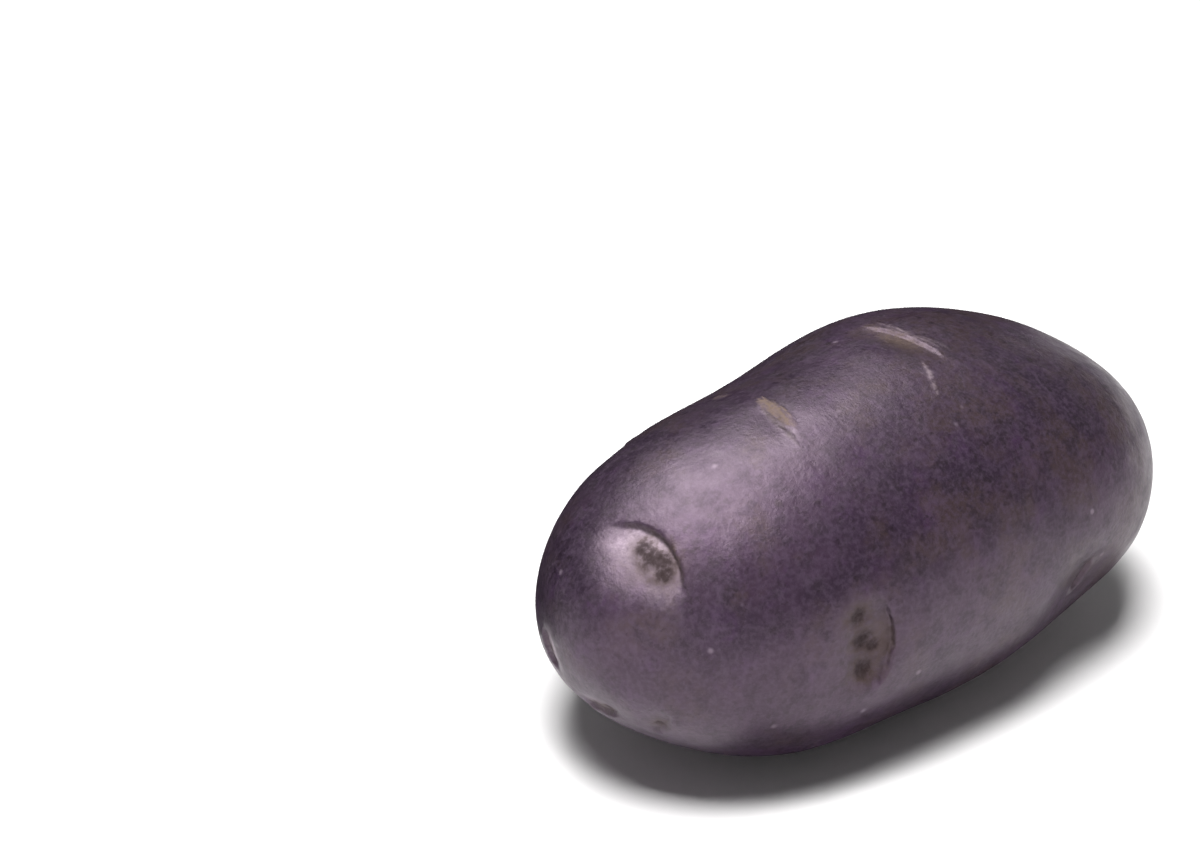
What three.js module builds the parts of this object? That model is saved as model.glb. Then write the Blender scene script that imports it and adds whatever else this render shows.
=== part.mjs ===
// Seed potato: one long-oval tuber with its eyes, lying as it rests on a shelf.
//
// Millimetres, +Z up. +X runs from the rose end, where the eyes crowd together,
// to the stem end, where the tuber hung on its stolon. It stands on Z = 0.
//
// Places on the skin are given as two angles:
//   along   degrees from the stem end (0) to the rose end (180)
//   around  degrees about the length, from +Y (0) over the top (90) to -Y (180)

import * as THREE from 'three';
import { mergeVertices } from 'three/addons/utils/BufferGeometryUtils.js';

// Driving dimensions
const LENGTH = 84;
const WIDTH = 48;
const THICKNESS = 43.5;
const SQUARENESS = 2.15; // 2 would be a plain ellipsoid, more is fuller at the shoulders
const STEM_END_FULLNESS = 0.08; // how much thicker the stem end is than the middle
const REST_DEPTH = 0.5; // how far the underside is flattened where it rests
const FACE_SPLITS = 15; // cuts along each edge of the icosahedron that the skin starts from

// Broad swellings (positive) and hollows (negative) of the body.
const SWELLINGS = [
  { along: 28, around: 90, spread: 22, height: -1.3 }, // flatter top of the stem end
  { along: 30, around: 178, spread: 23, height: 2.3 }, // full shoulder at the stem end
  { along: 40, around: 223, spread: 22, height: -1.1 }, // undercut below that shoulder
  { along: 104, around: 50, spread: 30, height: -2.5 }, // long hollow beside the crown
  { along: 139, around: 220, spread: 24, height: 1.8 }, // belly of the rose end
  { along: 144, around: -19, spread: 31, height: 1.4 }, // cheek of the rose end
];

// Eyes: a soft dip of some radius and depth, with a low brow on its stem side.
const EYES = [
  { along: 159, around: 109, radius: 3.8, depth: 1.2 },
  { along: 125, around: 178, radius: 4.0, depth: 0.9 },
  { along: 122, around: 92, radius: 2.6, depth: 0.3 },
  { along: 65, around: 86, radius: 3.4, depth: 0.4 },
  { along: 172, around: -25, radius: 2.6, depth: 0.7 },
  { along: 169, around: 245, radius: 2.6, depth: 0.7 },
  { along: 161, around: 217, radius: 2.8, depth: 0.4 },
  { along: 134, around: 20, radius: 3.6, depth: 1.0 },
  { along: 98, around: -48, radius: 3.6, depth: 0.8 },
  { along: 117, around: 272, radius: 3.4, depth: 0.7 },
  { along: 62, around: 12, radius: 3.4, depth: 0.7 },
  { along: 44, around: 262, radius: 3.2, depth: 0.6 },
];
const BROW_HEIGHT = 0.4; // part of an eye's depth that its brow stands proud

// Small hollows that are not eyes.
const DIMPLES = [
  { along: 0, around: 0, radius: 5.0, depth: 1.4 }, // navel, where the stolon broke off
  { along: 50, around: 192, radius: 5.5, depth: 1.5 }, // fold under the stem-end shoulder
];

const SKIN = new THREE.MeshStandardMaterial({ color: '#4f3e50', roughness: 0.5, metalness: 0 });

function direction({ along, around }) {
  const alongAngle = THREE.MathUtils.degToRad(along);
  const aroundAngle = THREE.MathUtils.degToRad(around);
  return new THREE.Vector3(
    Math.cos(alongAngle),
    Math.sin(alongAngle) * Math.cos(aroundAngle),
    Math.sin(alongAngle) * Math.sin(aroundAngle),
  );
}

// Height that the swellings add in one direction from the middle of the tuber.
function swellingHeight(unit) {
  let height = 0;
  for (const swelling of SWELLINGS) {
    const spreadAngle = THREE.MathUtils.degToRad(swelling.spread);
    const apart = (1 - unit.dot(direction(swelling))) / (1 - Math.cos(spreadAngle));
    height += swelling.height * Math.exp(-apart);
  }
  return height;
}

// The smooth skin, before eyes: a tapered superellipsoid with the swellings added.
function bodyPoint(unit) {
  const half = new THREE.Vector3(LENGTH / 2, WIDTH / 2, THICKNESS / 2);
  const sum = Math.abs(unit.x / half.x) ** SQUARENESS
    + Math.abs(unit.y / half.y) ** SQUARENESS
    + Math.abs(unit.z / half.z) ** SQUARENESS;
  const point = unit.clone().multiplyScalar(sum ** (-1 / SQUARENESS));
  const fullness = 1 + STEM_END_FULLNESS * (point.x / half.x);
  point.y *= fullness;
  point.z *= fullness;
  return point.addScaledVector(outward(point), swellingHeight(unit));
}

// Direction that the skin faces at a point, taken from the plain ellipsoid.
function outward(point) {
  return new THREE.Vector3(
    point.x / LENGTH ** 2,
    point.y / WIDTH ** 2,
    point.z / THICKNESS ** 2,
  ).normalize();
}

function dip(point, centre, { radius, depth }) {
  return -depth * Math.exp(-((point.distanceTo(centre) / radius) ** 2));
}

// Every eye and dimple with its centre on the skin, and the centre of its brow.
function placeHollows() {
  const eyes = EYES.map((eye) => {
    const centre = bodyPoint(direction(eye));
    const face = outward(centre);
    const stemward = new THREE.Vector3(1, 0, 0).addScaledVector(face, -face.x).normalize();
    const brow = centre.clone().addScaledVector(stemward, eye.radius);
    return { centre, brow, ...eye };
  });
  const dimples = DIMPLES.map((dimple) => ({ centre: bodyPoint(direction(dimple)), ...dimple }));
  return { eyes, dimples };
}

function skinPoint(unit, { eyes, dimples }) {
  const point = bodyPoint(unit);
  let height = 0;
  for (const eye of eyes) {
    height += dip(point, eye.centre, eye) - BROW_HEIGHT * dip(point, eye.brow, eye);
  }
  for (const dimple of dimples) height += dip(point, dimple.centre, dimple);
  return point.addScaledVector(outward(point), height);
}

// Stands the tuber on Z = 0 with its underside flattened, centred on X and Y.
function settle(geometry) {
  const position = geometry.getAttribute('position');
  geometry.computeBoundingBox();
  const floor = geometry.boundingBox.min.z + REST_DEPTH;
  for (let i = 0; i < position.count; i += 1) {
    position.setZ(i, Math.max(position.getZ(i), floor));
  }
  geometry.computeBoundingBox();
  const middle = geometry.boundingBox.getCenter(new THREE.Vector3());
  geometry.translate(-middle.x, -middle.y, -floor);
}

function makeTuber() {
  const sphere = new THREE.IcosahedronGeometry(1, FACE_SPLITS);
  sphere.deleteAttribute('normal');
  sphere.deleteAttribute('uv');
  const geometry = mergeVertices(sphere);
  const position = geometry.getAttribute('position');
  const hollows = placeHollows();
  const unit = new THREE.Vector3();
  for (let i = 0; i < position.count; i += 1) {
    unit.fromBufferAttribute(position, i).normalize();
    position.setXYZ(i, ...skinPoint(unit, hollows));
  }
  settle(geometry);
  geometry.computeVertexNormals();
  const tuber = new THREE.Mesh(geometry, SKIN);
  tuber.name = 'tuber';
  return tuber;
}

const potato = new THREE.Group();
potato.add(makeTuber());

export default potato;
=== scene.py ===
"""A whole seed potato, purple-skinned, lying on a pale studio floor.

The CAD tuber gives the body, its size and its soft dips. This script rounds a copy of it, carves the
eyes, buds and scars into the copy, and gives it the skin of a freshly washed purple tuber.

Places on the skin are two angles seen from the tuber's middle:
    along   degrees from the stem end (0) to the rose end (180)
    around  degrees about the length, from +Y (0) over the top (90) to -Y (180)
"""

from math import cos, exp, pi, radians, sin

import bmesh
import bpy
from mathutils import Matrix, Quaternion, Vector, bvhtree, kdtree, noise


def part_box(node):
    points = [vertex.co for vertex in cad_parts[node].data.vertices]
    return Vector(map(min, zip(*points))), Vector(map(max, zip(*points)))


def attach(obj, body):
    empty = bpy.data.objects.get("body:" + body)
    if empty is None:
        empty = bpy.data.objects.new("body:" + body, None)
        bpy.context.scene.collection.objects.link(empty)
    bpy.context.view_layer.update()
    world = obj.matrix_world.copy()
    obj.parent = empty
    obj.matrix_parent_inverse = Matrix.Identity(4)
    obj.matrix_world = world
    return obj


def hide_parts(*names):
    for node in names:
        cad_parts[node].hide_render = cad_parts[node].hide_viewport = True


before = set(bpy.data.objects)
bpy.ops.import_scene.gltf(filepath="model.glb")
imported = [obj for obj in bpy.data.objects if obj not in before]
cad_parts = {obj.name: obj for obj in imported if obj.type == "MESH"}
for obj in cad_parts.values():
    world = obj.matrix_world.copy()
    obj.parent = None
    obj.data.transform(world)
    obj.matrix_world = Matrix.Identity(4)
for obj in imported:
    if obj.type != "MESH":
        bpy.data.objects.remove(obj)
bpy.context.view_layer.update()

MM = 0.001
LENGTHWAYS = Vector((1, 0, 0))

low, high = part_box("tuber")
MIDDLE = (low + high) / 2

scene = bpy.context.scene
scene.view_settings.view_transform = "Standard"


# ---------------------------------------------------------------- camera

CAMERA_AZIMUTH = -38.9
CAMERA_ELEVATION = 32.0
CAMERA_DISTANCE = 417.3 * MM
AIM = MIDDLE + Vector((-9.3, 34.6, 0)) * MM  # where the view's centre line passes over the floor


def add_camera():
    camera = bpy.data.objects.new("camera", bpy.data.cameras.new("camera"))
    camera.data.lens = 100
    camera.data.sensor_width = 36
    camera.data.clip_start = 0.01
    azimuth, elevation = radians(CAMERA_AZIMUTH), radians(CAMERA_ELEVATION)
    back = Vector((sin(azimuth) * cos(elevation), -cos(azimuth) * cos(elevation), sin(elevation)))
    camera.location = AIM + back * CAMERA_DISTANCE
    camera.rotation_euler = (pi / 2 - elevation, 0, azimuth)
    scene.collection.objects.link(camera)
    scene.camera = camera


add_camera()


# ---------------------------------------------------------------- eyes and marks of the skin

# Each eye lies under its brow, an arc bowed towards the stem end. Sizes are in millimetres:
#   half_width  half the brow's length          bow     how far the arc bows
#   depth       of the fold under the brow      floor   how far the fold runs towards the rose end
#   lip         height of the brow itself       hang    how far the brow hangs over the fold
#   buds        (across, stemward, radius, height) of each bud, a negative height being a sunk one
#   wall_shade  thickness of the dark wall under the brow, its own colour deepened by painted shade   dark  how dark that wall is
#   pale, olive how strongly the skin in the eye is bleached or tinted
EYES = [
    dict(along=160, around=108, turn=2, half_width=6.3, bow=2.6, depth=0.65, floor=4.0, lip=0.1,
         hang=0.05,
         buds=[(1.1, 0.2, 1.2, 0.3), (-0.6, -0.1, 1.5, 0.5), (-3.0, -0.35, 1.3, 0.3), (-1.9, 0.6, 1.4, 0.3)],
         wall_shade=0.35, dark=0.8, pale=1.0, olive=0.1),
    dict(along=122, around=178, turn=-3, half_width=5.8, bow=1.5, depth=0.7, floor=4.2, lip=0.1, hang=0.0,
         buds=[(3.9, -3.2, 1.3, -0.3), (0.6, -2.3, 1.5, -0.35), (-0.5, -1.0, 1.0, -0.15),
               (-3.1, -2.1, 1.5, -0.4)],
         wall_shade=0.9, dark=0.45, pale=0.0, olive=1.0),
    dict(along=121, around=95, turn=-12, half_width=4.4, bow=0.5, depth=0.12, floor=2.0, lip=0.0, hang=0.0,
         buds=[], wall_shade=0.4, dark=0.3, pale=0.0, olive=0.2),
    dict(along=64, around=86, turn=8, half_width=6.0, bow=0.8, depth=0.3, floor=3.2, lip=0.05, hang=0.0,
         buds=[], wall_shade=0.6, dark=0.1, pale=0.0, olive=0.9),
    dict(along=172, around=330, turn=0, half_width=2.6, bow=0.9, depth=0.4, floor=1.7, lip=0.2, hang=0.05,
         buds=[(0.0, -0.6, 0.6, 0.2)], wall_shade=0.5, dark=0.5, pale=0.9, olive=0.4),
    dict(along=168, around=252, turn=0, half_width=3.2, bow=0.9, depth=0.45, floor=1.8, lip=0.15, hang=0.1,
         buds=[(1.2, -0.5, 0.6, -0.1), (-0.6, -0.6, 0.6, 0.1)], wall_shade=0.6, dark=0.6, pale=0.4, olive=0.8),
    dict(along=161, around=216, turn=0, half_width=2.6, bow=0.7, depth=0.4, floor=1.6, lip=0.1, hang=0.1,
         buds=[(0.0, -0.5, 0.6, -0.2)], wall_shade=0.5, dark=0.5, pale=0.0, olive=0.7),
    dict(along=135, around=20, turn=4, half_width=5.4, bow=1.7, depth=1.1, floor=3.0, lip=0.3, hang=0.4,
         buds=[(0.4, 0.0, 0.9, 0.4), (-1.3, -0.2, 0.9, 0.3), (1.9, -0.3, 0.8, 0.3)],
         wall_shade=1.1, dark=0.7, pale=0.7, olive=0.8),
    dict(along=98, around=312, turn=-4, half_width=5.2, bow=1.4, depth=0.9, floor=3.0, lip=0.3, hang=0.3,
         buds=[(0.0, -0.7, 1.0, 0.3), (-1.8, -1.1, 0.9, -0.3)], wall_shade=0.8, dark=0.7, pale=0.3, olive=0.9),
    dict(along=117, around=272, turn=3, half_width=4.8, bow=1.3, depth=0.8, floor=2.6, lip=0.2, hang=0.3,
         buds=[(0.2, -0.6, 0.9, 0.3), (1.6, -0.9, 0.8, -0.3)], wall_shade=0.8, dark=0.6, pale=0.4, olive=0.8),
    dict(along=62, around=12, turn=-3, half_width=5.0, bow=1.2, depth=0.7, floor=2.8, lip=0.25, hang=0.25,
         buds=[(0.0, -0.9, 0.9, 0.2), (-1.7, -1.0, 0.8, -0.3)], wall_shade=0.7, dark=0.6, pale=0.1, olive=0.9),
    dict(along=45, around=262, turn=0, half_width=4.4, bow=1.1, depth=0.5, floor=2.4, lip=0.2, hang=0.2,
         buds=[(0.0, -0.7, 0.8, -0.3)], wall_shade=0.6, dark=0.5, pale=0.1, olive=0.8),
    dict(along=49, around=191, turn=-20, half_width=2.6, bow=0.5, depth=0.4, floor=1.8, lip=0.2, hang=0.1,
         buds=[], wall_shade=0.5, dark=0.15, pale=0.0, olive=0.3),
]

# Scuffs: thin streaks where the skin was rubbed or has healed, and one crease whose dark is painted shade,
# each length by width in mm. turn is the angle of the streak from straight round the tuber.
SCUFFS = [
    dict(along=119, around=89, turn=-10, length=8.4, width=2.0, mark="cork", strength=1.0),
    # A crease drawn only as painted shade: a dark streak where the skin is barely sunk.
    dict(along=122.2, around=96, turn=-12, length=8.5, width=1.1, mark="wall_shade", strength=1.1),
    dict(along=117, around=56, turn=-9, length=3.2, width=2.2, mark="cork", strength=0.45),
    dict(along=61, around=84, turn=6, length=11.0, width=1.0, mark="chaff", strength=0.45),
    dict(along=59, around=93, turn=9, length=5.0, width=0.9, mark="chaff", strength=0.3),
    dict(along=64.5, around=80, turn=5, length=9.5, width=3.6, mark="cork", strength=0.35),
    dict(along=73, around=108, turn=-26, length=6.3, width=0.8, mark="chaff", strength=0.65),
    dict(along=80, around=290, turn=-15, length=7.0, width=1.4, mark="cork", strength=0.6),
    dict(along=105, around=345, turn=12, length=6.0, width=0.9, mark="chaff", strength=0.6),
    dict(along=132, around=215, turn=14, length=5.0, width=0.7, mark="chaff", strength=0.4),
]

NAVEL_RADIUS = 2.6  # mm, the round scar where the stolon broke off
MARKS = ("wall_shade", "bud", "pale", "olive", "cork", "chaff")
REFINE_RADIUS = 6.6  # mm round each eye where the mesh is made finer
EYE_MARGIN = 4  # mm past the ends of a brow that an eye still shapes
NAVEL_MARGIN = 2.5  # mm past the stolon scar that it still shapes
FLAKE_HEIGHT = 0.05  # mm that a scuff stands proud
SWELL = (11, 0.14)  # size and height in mm of the slow unevenness of the skin
RIPPLE = (3.2, 0.035)  # and of the quicker one


def direction(along, around):
    along, around = radians(along), radians(around)
    return Vector((cos(along), sin(along) * cos(around), sin(along) * sin(around)))


def smooth_step(edge0, edge1, value):
    t = min(max((value - edge0) / (edge1 - edge0), 0), 1)
    return t * t * (3 - 2 * t)


def bell(distance, width):
    return exp(-((distance / width) ** 2))


class Spot:
    """A place on the skin, with the directions along the skin from it."""

    def __init__(self, tree, along, around, turn=0):
        self.centre, self.face, _, _ = tree.ray_cast(MIDDLE, direction(along, around))
        stemward = LENGTHWAYS - self.face * LENGTHWAYS.dot(self.face)
        self.stemward = stemward.normalized()
        self.stemward.rotate(Quaternion(self.face, radians(turn)))
        self.across = self.face.cross(self.stemward)

    def local(self, point):
        """How far a point lies across and stemward of the spot, in mm."""
        offset = (point - self.centre) / MM
        return offset.dot(self.across), offset.dot(self.stemward)


# ---------------------------------------------------------------- mesh

def rounded_copy(node, name):
    """The CAD skin joined into one surface and rounded by two subdivisions."""
    bm = bmesh.new()
    bm.from_mesh(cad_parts[node].data)
    bmesh.ops.remove_doubles(bm, verts=bm.verts, dist=0.01 * MM)
    mesh = bpy.data.meshes.new(name)
    bm.to_mesh(mesh)
    bm.free()
    piece = bpy.data.objects.new(name, mesh)
    scene.collection.objects.link(piece)
    rounding = piece.modifiers.new("rounding", "SUBSURF")
    rounding.levels = rounding.render_levels = 2
    evaluated = piece.evaluated_get(bpy.context.evaluated_depsgraph_get())
    piece.data = bpy.data.meshes.new_from_object(evaluated)
    piece.modifiers.clear()
    return piece


def refine(bm, spots):
    """Splits the edges round each eye once more, so that a brow can be crisp."""
    near = [edge for edge in bm.edges
            if any((edge.verts[0].co - spot.centre).length < REFINE_RADIUS * MM for spot in spots)]
    bmesh.ops.subdivide_edges(bm, edges=near, cuts=1, use_grid_fill=True)


class Carving:
    """Moves and marks of the skin's vertices, gathered first and applied together."""

    def __init__(self, bm):
        bm.verts.ensure_lookup_table()
        bm.normal_update()
        self.bm = bm
        self.moves = [Vector() for _ in bm.verts]
        self.marks = {mark: [0.0] * len(bm.verts) for mark in MARKS}
        self.near = kdtree.KDTree(len(bm.verts))
        for vert in bm.verts:
            self.near.insert(vert.co, vert.index)
        self.near.balance()

    def around(self, spot, radius):
        """Index, and place across and stemward in mm, of each vertex within a radius of a spot."""
        for point, index, _ in self.near.find_range(spot.centre, radius * MM):
            yield index, *spot.local(point)

    def raise_skin(self, index, height):
        self.moves[index] += self.bm.verts[index].normal * height * MM

    def mark(self, name, index, strength):
        self.marks[name][index] = max(self.marks[name][index], min(strength, 1.0))

    def apply(self):
        for vert, move in zip(self.bm.verts, self.moves):
            vert.co += move
            vert.co.z = max(vert.co.z, 0)


def ragged(point, size, seed):
    """Noise from -1 to 1 with features of a size in mm."""
    return noise.noise(Vector(point) / (size * MM) + Vector((seed, 0, 0)))


def carve_eye(carving, spot, eye):
    half = eye["half_width"]
    for index, across, stemward in carving.around(spot, half + EYE_MARGIN):
        point = carving.bm.verts[index].co
        wobble = 0.18 * ragged(point, 1.6, 3)
        past = stemward + wobble - eye["bow"] * (1 - (across / half) ** 2)
        ends = smooth_step(1.15, 0.55, abs(across) / half)
        under = smooth_step(0.05, -0.35, past) * bell(min(past, 0), eye["floor"])
        brow = bell(max(past, 0), 1.5) * smooth_step(-0.3, 0.15, past)
        carving.raise_skin(index, ends * (eye["lip"] * brow - eye["depth"] * under))
        edge = bell(past - 0.1, 0.45)
        carving.moves[index] -= spot.stemward * ends * eye["hang"] * edge * MM
        # The wall under the brow: its own dark corky colour, with painted shade where the recess lies in
        # shadow.
        shade = smooth_step(0.15, -0.15, past) * bell(min(past + eye["wall_shade"] / 2, 0), eye["wall_shade"])
        carving.mark("wall_shade", index, eye["dark"] * ends * shade * (1 + 0.4 * ragged(point, 1.1, 9)))
        spread = bell(across, half * 0.62)
        carving.mark("olive", index, eye["olive"] * spread * smooth_step(0.4, -0.6, past)
                     * bell(min(past + 1.2, 0), eye["floor"] * 0.75))
        carving.mark("pale", index, eye["pale"] * bell(across, half * 0.75) * smooth_step(0.2, -1.0, past)
                     * bell(min(past + 2.2, 0), eye["floor"] * 0.62))
        for bud_across, bud_stemward, radius, height in eye["buds"]:
            distance = ((across - bud_across) ** 2 + (stemward - bud_stemward) ** 2) ** 0.5
            distance *= 1 + 0.25 * ragged(point, 0.9, 11)
            carving.raise_skin(index, height * bell(distance, radius))
            carving.mark("bud", index, 1.3 * bell(distance, radius * 0.8))
            carving.mark("olive", index, bell(distance, radius * 1.7))


def carve_scuff(carving, spot, scuff):
    """A streak of torn skin, its ends tapered and its edges frayed along its length."""
    half_length, half_width = scuff["length"] / 2, scuff["width"] / 2
    for index, along_it, over_it in carving.around(spot, half_length + 1):
        point = carving.bm.verts[index].co
        taper = max(1 - (along_it / half_length) ** 2, 0) ** 0.5
        fray = 0.55 * ragged((along_it * MM * 0.6, over_it * MM * 3, 0), 1.0, scuff["along"])
        inside = smooth_step(1.4, 0.3, abs(over_it) / half_width + fray + (1 - taper) * 1.1)
        streaky = 0.8 + 0.7 * ragged((along_it * MM * 0.4, over_it * MM * 5, 0), 1.0, 21)
        carving.mark(scuff["mark"], index, scuff["strength"] * inside * streaky)
        carving.raise_skin(index, FLAKE_HEIGHT * inside * scuff["strength"] * (1 + ragged(point, 0.5, 7)))


def carve_navel(carving, spot):
    """The stolon scar: a corky ring round a small torn stub."""
    for index, across, stemward in carving.around(spot, NAVEL_RADIUS + NAVEL_MARGIN):
        point = carving.bm.verts[index].co
        distance = (across ** 2 + stemward ** 2) ** 0.5 + 0.35 * ragged(point, 1.3, 5)
        carving.raise_skin(index, 0.35 * bell(distance, 0.8) - 0.5 * bell(distance - 1.6, 0.6)
                           + 0.2 * bell(distance - NAVEL_RADIUS, 0.5))
        carving.mark("cork", index, 0.9 * smooth_step(NAVEL_RADIUS + 0.6, NAVEL_RADIUS - 0.4, distance))
        # Painted shade in the groove round the stub.
        carving.mark("wall_shade", index, 0.8 * bell(distance - 1.6, 0.45))
        carving.mark("olive", index, 0.8 * bell(max(distance - NAVEL_RADIUS, 0), 1.4))


def undulate(carving):
    """The slow unevenness of a grown skin."""
    for vert in carving.bm.verts:
        for seed, (size, height) in enumerate((SWELL, RIPPLE), start=1):
            carving.raise_skin(vert.index, height * ragged(vert.co, size, seed))


def make_tuber():
    piece = rounded_copy("tuber", "whole_tuber")
    bm = bmesh.new()
    bm.from_mesh(piece.data)
    tree = bvhtree.BVHTree.FromBMesh(bm)
    eyes = [(Spot(tree, eye["along"], eye["around"], eye["turn"]), eye) for eye in EYES]
    navel = Spot(tree, 0, 0)
    refine(bm, [spot for spot, _ in eyes] + [navel])
    carving = Carving(bm)
    undulate(carving)
    for spot, eye in eyes:
        carve_eye(carving, spot, eye)
    for scuff in SCUFFS:
        carve_scuff(carving, Spot(tree, scuff["along"], scuff["around"], scuff["turn"]), scuff)
    carve_navel(carving, navel)
    carving.apply()
    for face in bm.faces:
        face.smooth = True
    bmesh.ops.recalc_face_normals(bm, faces=bm.faces)
    bm.to_mesh(piece.data)
    bm.free()
    for mark, strengths in carving.marks.items():
        attribute = piece.data.attributes.new(mark, "FLOAT", "POINT")
        attribute.data.foreach_set("value", strengths)
    return piece


# ---------------------------------------------------------------- materials

def colour(hex_value):
    """Linear colour, with alpha, of an sRGB hex value such as 'a0b1c2'."""
    parts = [int(hex_value[i:i + 2], 16) / 255 for i in (0, 2, 4)]
    return [part / 12.92 if part <= 0.04045 else ((part + 0.055) / 1.055) ** 2.4 for part in parts] + [1.0]


def node(tree, kind, inputs=(), **settings):
    """Adds a node: settings are its properties, inputs a value or a feeding output for each socket."""
    made = tree.nodes.new(kind)
    for name, value in settings.items():
        setattr(made, name, value)
    for socket, value in dict(inputs).items():
        if isinstance(value, bpy.types.NodeSocket):
            tree.links.new(value, made.inputs[socket])
        else:
            made.inputs[socket].default_value = value
    return made


def per_mm(size):
    """Texture scale that gives features of a size in mm, on coordinates in metres."""
    return 1 / (size * MM)


FACTOR, COLOUR_A, COLOUR_B, MIXED = 0, 6, 7, 2  # sockets of a colour Mix node
SATIN = (0.34, 0.52)  # roughness of the skin, from its smoothest patches to its roughest
RELIEF_HEIGHT = 0.05  # mm of bump for each whole share of relief


def periderm():
    """Periderm, the thin corky skin of a purple tuber, washed and dry: deep purple with a satin sheen,
    mottled grain by grain, browned towards the stem end, and dotted with lenticels."""
    material = bpy.data.materials.new("purple_periderm")
    material.use_nodes = True
    tree = material.node_tree
    shader = tree.nodes["Principled BSDF"]
    shader.inputs["IOR"].default_value = 1.62
    shader.inputs["Specular Tint"].default_value = colour("ffe4f8")  # pigment tinges the sheen
    place = node(tree, "ShaderNodeTexCoord").outputs["Object"]
    # Coordinates squeezed lengthways, so that a pattern on them runs round the tuber.
    round_it = node(tree, "ShaderNodeMapping", {"Vector": place, "Scale": (2.0, 1, 1)}).outputs[0]

    # Patterns: name, coordinates, size of a feature in mm, detail, roughness.
    pattern = {}
    for name, where, size, detail, roughness in (
        ("drift", place, 14, 3, 0.55),
        ("cloud", place, 5.5, 5, 0.65),
        ("russet", place, 8, 5, 0.65),
        ("mottle", place, 2.8, 4, 0.65),
        ("fleck", place, 1.2, 3, 0.7),
        ("streak", round_it, 2.6, 4, 0.6),
        ("grain", place, 0.55, 3, 0.65),
        ("fray", place, 0.7, 3, 0.6),
    ):
        pattern[name] = node(tree, "ShaderNodeTexNoise", {
            "Vector": where, "Scale": per_mm(size), "Detail": detail, "Roughness": roughness,
        }).outputs[0]
    # Lenticels, the pores of the skin, and how far apart they are in mm: pale dots and fewer dark ones.
    for name, spacing in (("pale_pore", 5.5), ("dark_pore", 7.5)):
        pattern[name] = node(tree, "ShaderNodeTexVoronoi", {
            "Vector": place, "Scale": per_mm(spacing),
        }).outputs["Distance"]

    # Russeting gathers towards the stem end.
    lengthways = node(tree, "ShaderNodeSeparateXYZ", {0: place}).outputs["X"]
    stem_share = node(tree, "ShaderNodeMapRange", {
        0: lengthways, 1: -30 * MM, 2: 35 * MM, 3: 0.0, 4: 0.14,
    }).outputs[0]
    russet = node(tree, "ShaderNodeMath", {
        0: pattern["russet"], 1: stem_share,
    }, operation="ADD").outputs[0]

    # Marks carved with the shape, their edges frayed.
    frayed = node(tree, "ShaderNodeMapRange", {
        0: pattern["fray"], 1: 0.3, 2: 0.7, 3: 0.5, 4: 1.3,
    }).outputs[0]
    mark = {}
    for name in MARKS:
        carved = node(tree, "ShaderNodeAttribute", attribute_name=name).outputs["Fac"]
        mark[name] = node(tree, "ShaderNodeMath", {0: carved, 1: frayed}, operation="MULTIPLY").outputs[0]

    # Layers of colour from the deepest: what each follows, where it starts and is full, its strength.
    skin = colour("211624")
    for follows, start, full, strength, hex_value in (
        (pattern["drift"], 0.38, 0.62, 1.0, "302131"),  # reddish purple over deep purple
        (pattern["cloud"], 0.50, 0.68, 0.5, "3e2646"),  # violet clouds
        (russet, 0.52, 0.70, 0.8, "342827"),  # grey-brown russet
        (pattern["mottle"], 0.50, 0.62, 0.75, "19111a"),  # darker cells in patches
        (pattern["streak"], 0.50, 0.72, 0.3, "514155"),  # paler stretch marks round the tuber
        (pattern["grain"], 0.38, 0.68, 0.5, "453848"),  # paler walls between the cells
        (pattern["fleck"], 0.56, 0.70, 0.75, "170e15"),  # dark flecks
        (pattern["dark_pore"], 0.09, 0.03, 0.8, "170e12"),
        (pattern["pale_pore"], 0.10, 0.02, 0.55, "857684"),
        (mark["pale"], 0.0, 1.0, 0.8, "b5a4b1"),  # bleached lilac skin in an eye
        (mark["olive"], 0.0, 0.9, 0.9, "3d3128"),  # thin greenish-brown skin in an eye
        (mark["cork"], 0.0, 1.0, 0.8, "6f5e4c"),  # tan healed cork
        (mark["chaff"], 0.0, 1.0, 0.75, "8d7e84"),  # dry flakes of dead skin
        (mark["wall_shade"], 0.0, 1.0, 0.9, "29211c"),  # dark corky wall of an eye, deepened by painted shade of its recess; also one crease and the stolon scar's groove
        (mark["bud"], 0.1, 0.8, 0.9, "231a17"),  # dry bud scales
    ):
        amount = node(tree, "ShaderNodeMapRange", {
            0: follows, 1: start, 2: full, 3: 0.0, 4: strength,
        }, interpolation_type="SMOOTHSTEP").outputs[0]
        skin = node(tree, "ShaderNodeMix", {
            FACTOR: amount, COLOUR_A: skin, COLOUR_B: colour(hex_value),
        }, data_type="RGBA").outputs[MIXED]
    tree.links.new(skin, shader.inputs["Base Color"])

    # Satin sheen, broken up by mottle, and dull where the skin is cork, chaff or an eye.
    rough = node(tree, "ShaderNodeMapRange", {
        0: pattern["mottle"], 1: 0.3, 2: 0.7, 3: SATIN[0], 4: SATIN[1],
    }).outputs[0]
    for name, share in (("cork", 0.35), ("chaff", 0.25), ("olive", 0.12), ("bud", 0.3)):
        rough = node(tree, "ShaderNodeMath", {
            0: mark[name], 1: share, 2: rough,
        }, operation="MULTIPLY_ADD").outputs[0]
    tree.links.new(rough, shader.inputs["Roughness"])

    # Relief: grain, stretch marks, mottle and the flaky marks, in shares of the bump's full height.
    relief = 0.0
    for height, share in (
        (pattern["grain"], 0.7), (pattern["streak"], 0.9), (pattern["mottle"], 1.8), (mark["cork"], 0.8),
        (mark["chaff"], 0.6),
    ):
        relief = node(tree, "ShaderNodeMath", {
            0: height, 1: share, 2: relief,
        }, operation="MULTIPLY_ADD").outputs[0]
    bump = node(tree, "ShaderNodeBump", {
        "Height": relief, "Strength": 1.0, "Distance": RELIEF_HEIGHT * MM,
    }).outputs[0]
    tree.links.new(bump, shader.inputs["Normal"])
    return material


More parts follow.
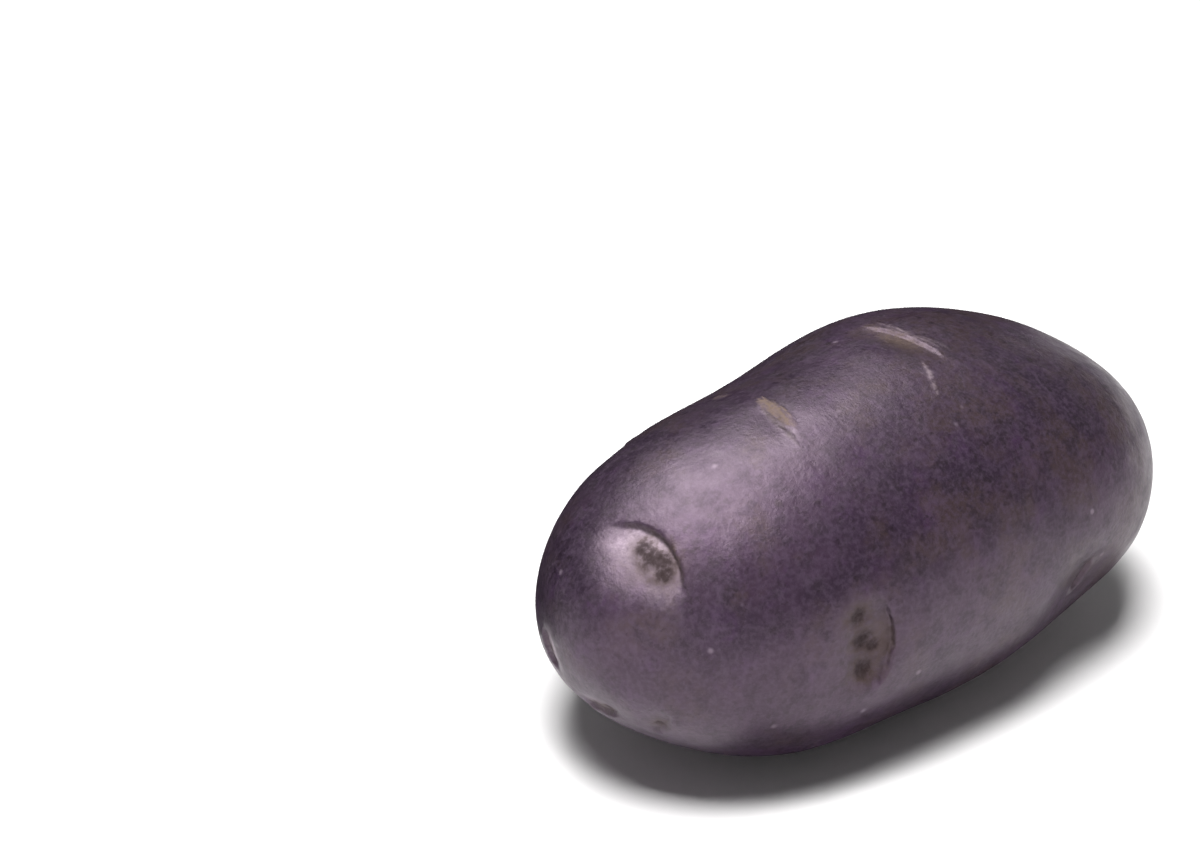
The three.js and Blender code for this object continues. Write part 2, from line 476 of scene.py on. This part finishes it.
def floor_paint():
    """Matt white studio board."""
    material = bpy.data.materials.new("white_board")
    material.use_nodes = True
    shader = material.node_tree.nodes["Principled BSDF"]
    shader.inputs["Base Color"].default_value = colour("f4f3f3")
    shader.inputs["Roughness"].default_value = 0.9
    shader.inputs["Specular IOR Level"].default_value = 0.0
    return material


def flag_and_shadow_cloth():
    """Black felt of a studio flag, and the black of the painted shadow under the tuber."""
    material = bpy.data.materials.new("black_felt_and_painted_shadow")
    material.use_nodes = True
    shader = material.node_tree.nodes["Principled BSDF"]
    shader.inputs["Base Color"].default_value = colour("0c0a0c")
    shader.inputs["Roughness"].default_value = 1.0
    shader.inputs["Specular IOR Level"].default_value = 0.0
    return material


# ---------------------------------------------------------------- studio

FLOOR_SIDE = 8  # metres


def add_floor():
    bm = bmesh.new()
    bmesh.ops.create_grid(bm, size=FLOOR_SIDE / 2)
    mesh = bpy.data.meshes.new("floor")
    bm.to_mesh(mesh)
    bm.free()
    mesh.materials.append(floor_paint())
    floor = bpy.data.objects.new("floor", mesh)
    scene.collection.objects.link(floor)


def add_flag_or_painted_shadow(name, corners):
    """A black sheet by the tuber, its corners in mm, seen only in the tuber's gloss. Behind the tuber it is
    a flag that stands for the dark surroundings that keep an edge of the tuber dark; under the tuber it is a
    painted shadow that stands for the floor's shade, darkening the tuber's lower edge in its gloss."""
    mesh = bpy.data.meshes.new(name)
    mesh.from_pydata([Vector(corner) * MM for corner in corners], [], [(0, 1, 2, 3)])
    mesh.materials.append(flag_and_shadow_cloth())
    flag = bpy.data.objects.new(name, mesh)
    flag.visible_camera = False
    flag.visible_diffuse = False
    flag.visible_shadow = False
    scene.collection.objects.link(flag)


def add_softbox(name, towards, roll, distance, width, height, power, gloss):
    """A rectangular softbox in a direction from the tuber, facing it. One with gloss is seen only in
    the gloss of the skin, and one without lights the set and is kept out of the gloss."""
    light = bpy.data.lights.new(name, "AREA")
    light.shape = "RECTANGLE"
    light.size = width
    light.size_y = height
    light.energy = power
    softbox = bpy.data.objects.new(name, light)
    towards = Vector(towards).normalized()
    softbox.location = MIDDLE + towards * distance
    facing = towards.to_track_quat("Z", "Y") @ Quaternion((0, 0, 1), radians(roll))
    softbox.rotation_euler = facing.to_euler()
    softbox.visible_glossy = gloss
    softbox.visible_diffuse = not gloss
    scene.collection.objects.link(softbox)


def add_sky(strength):
    world = bpy.data.worlds.new("studio")
    world.use_nodes = True
    background = world.node_tree.nodes["Background"]
    background.inputs["Color"].default_value = colour("ffffff")
    background.inputs["Strength"].default_value = strength
    scene.world = world


# ---------------------------------------------------------------- the whole scene

tuber = make_tuber()
tuber.data.materials.append(periderm())
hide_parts("tuber")
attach(tuber, "root")

add_floor()
add_flag_or_painted_shadow("flag_behind", [(-62, 32, 0), (75, 32, 0), (75, 32, 60), (-62, 32, 60)])
# Painted shadow: a black sheet on the floor under the tuber, seen only in gloss, for the floor's shade
# there.
add_flag_or_painted_shadow("painted_shadow_under", [(-30, -26, 0.3), (42, -26, 0.3), (42, 20, 0.3), (-30, 20, 0.3)])
# Each softbox: direction, roll in degrees, distance, width and height in metres, power in watts.
add_softbox("overhead", (-0.23, -0.14, 1), 0, 1.3, 0.46, 0.46, 27, gloss=False)
add_softbox("behind", (-0.10, 0.36, 0.93), 34, 1.0, 1.2, 0.75, 20.5, gloss=True)
add_softbox("left", (-0.80, -0.30, 0.25), 0, 0.6, 0.7, 0.34, 0.8, gloss=True)
add_sky(0.15)
